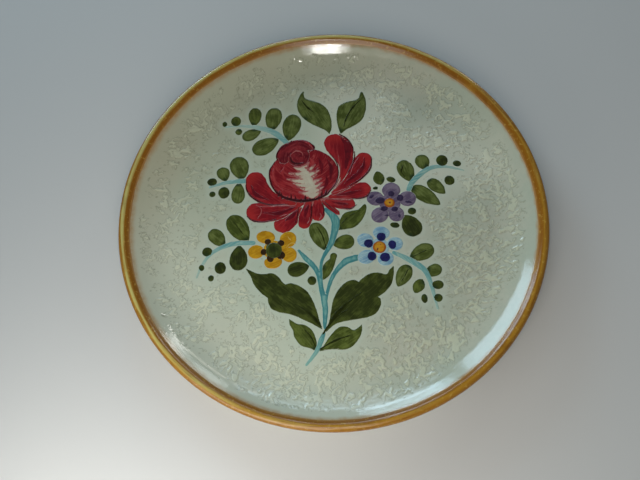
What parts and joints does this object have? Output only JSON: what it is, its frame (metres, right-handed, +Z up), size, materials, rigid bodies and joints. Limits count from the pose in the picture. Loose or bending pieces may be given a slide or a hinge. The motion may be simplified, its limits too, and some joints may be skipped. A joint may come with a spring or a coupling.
{
  "type": "decorative plate",
  "caption": "Round shallow ceramic plate on a foot ring, crawled cream ground, ochre rim band and a hand painted bouquet with a rose in raised enamel.",
  "frame": {"origin": "middle of the plate, on the surface that its foot ring stands on", "axes": "+Z up out of the painted face, +Y the way the bouquet grows, +X to the right of the bouquet"},
  "size_m": [0.2398, 0.2398, 0.0201],
  "materials": {
    "clay": "fired, unglazed, dry",
    "ground_glaze": "clear gloss over a crawled cream glaze with a raised worm-like relief",
    "back_glaze": "smooth cream gloss",
    "ochre_glaze": "ochre to red-brown gloss, brushed round by hand",
    "olive_enamel": "brushed, slightly raised, glossy",
    "turquoise_enamel": "thin translucent brushed enamel, glossy",
    "crimson_enamel": "brushed, slightly raised, glossy",
    "deep_crimson_enamel": "brushed, slightly raised, glossy",
    "yellow_enamel": "brushed, slightly raised, glossy",
    "mauve_enamel": "thin translucent brushed enamel, glossy",
    "blue_enamel": "thin translucent brushed enamel, glossy",
    "dark_green_enamel": "brushed, slightly raised, glossy"
  },
  "bodies": {
    "root": {"plate_body": "clay", "face_glaze": "ground_glaze", "rim_band": "ochre_glaze", "back_glaze": "back_glaze", "base_glaze": "back_glaze", "big_leaf_left": "olive_enamel", "big_leaf_right": "olive_enamel", "blue_flower_centre": "yellow_enamel", "blue_flower_petals": "blue_enamel", "bottom_leaf_left": "olive_enamel", "bottom_leaf_right": "olive_enamel", "leaf_below_mauve": "olive_enamel", "leaf_left_1": "olive_enamel", "leaf_left_2": "olive_enamel", "leaf_left_3": "olive_enamel", "leaf_lower_left_1": "olive_enamel", "leaf_lower_left_2": "olive_enamel", "leaf_lower_left_3": "olive_enamel", "leaf_lower_right_1": "olive_enamel", "leaf_lower_right_2": "olive_enamel", "leaf_lower_right_3": "olive_enamel", "leaf_right_1": "olive_enamel", "leaf_right_2": "olive_enamel", "leaf_right_3": "olive_enamel", "leaf_right_4": "olive_enamel", "leaf_upper_left_1": "olive_enamel", "leaf_upper_left_2": "olive_enamel", "leaf_upper_left_3": "olive_enamel", "leaf_upper_left_4": "olive_enamel", "leaf_upper_left_5": "olive_enamel", "main_stem": "turquoise_enamel", "mauve_flower_centre": "yellow_enamel", "mauve_flower_petals": "mauve_enamel", "rose_bowl": "crimson_enamel", "rose_bud": "deep_crimson_enamel", "rose_petal_bottom": "crimson_enamel", "rose_petal_bottom_left": "crimson_enamel", "rose_petal_bottom_right": "crimson_enamel", "rose_petal_left": "crimson_enamel", "rose_petal_left_low": "crimson_enamel", "rose_petal_right": "crimson_enamel", "rose_petal_right_low": "crimson_enamel", "rose_petal_right_mid": "crimson_enamel", "rose_petal_top_right": "crimson_enamel", "sprig_stem_left": "turquoise_enamel", "sprig_stem_lower_left": "turquoise_enamel", "sprig_stem_lower_right": "turquoise_enamel", "sprig_stem_right": "turquoise_enamel", "sprig_stem_upper_left": "turquoise_enamel", "stem_leaf_curled": "olive_enamel", "stem_leaf_left": "olive_enamel", "stem_leaf_narrow": "olive_enamel", "stem_leaf_oval": "olive_enamel", "stem_leaf_right": "olive_enamel", "stem_tail": "turquoise_enamel", "top_leaf_left": "olive_enamel", "top_leaf_right": "olive_enamel", "yellow_flower_centre": "dark_green_enamel", "yellow_flower_petals": "yellow_enamel"}
  },
  "joints": []
}
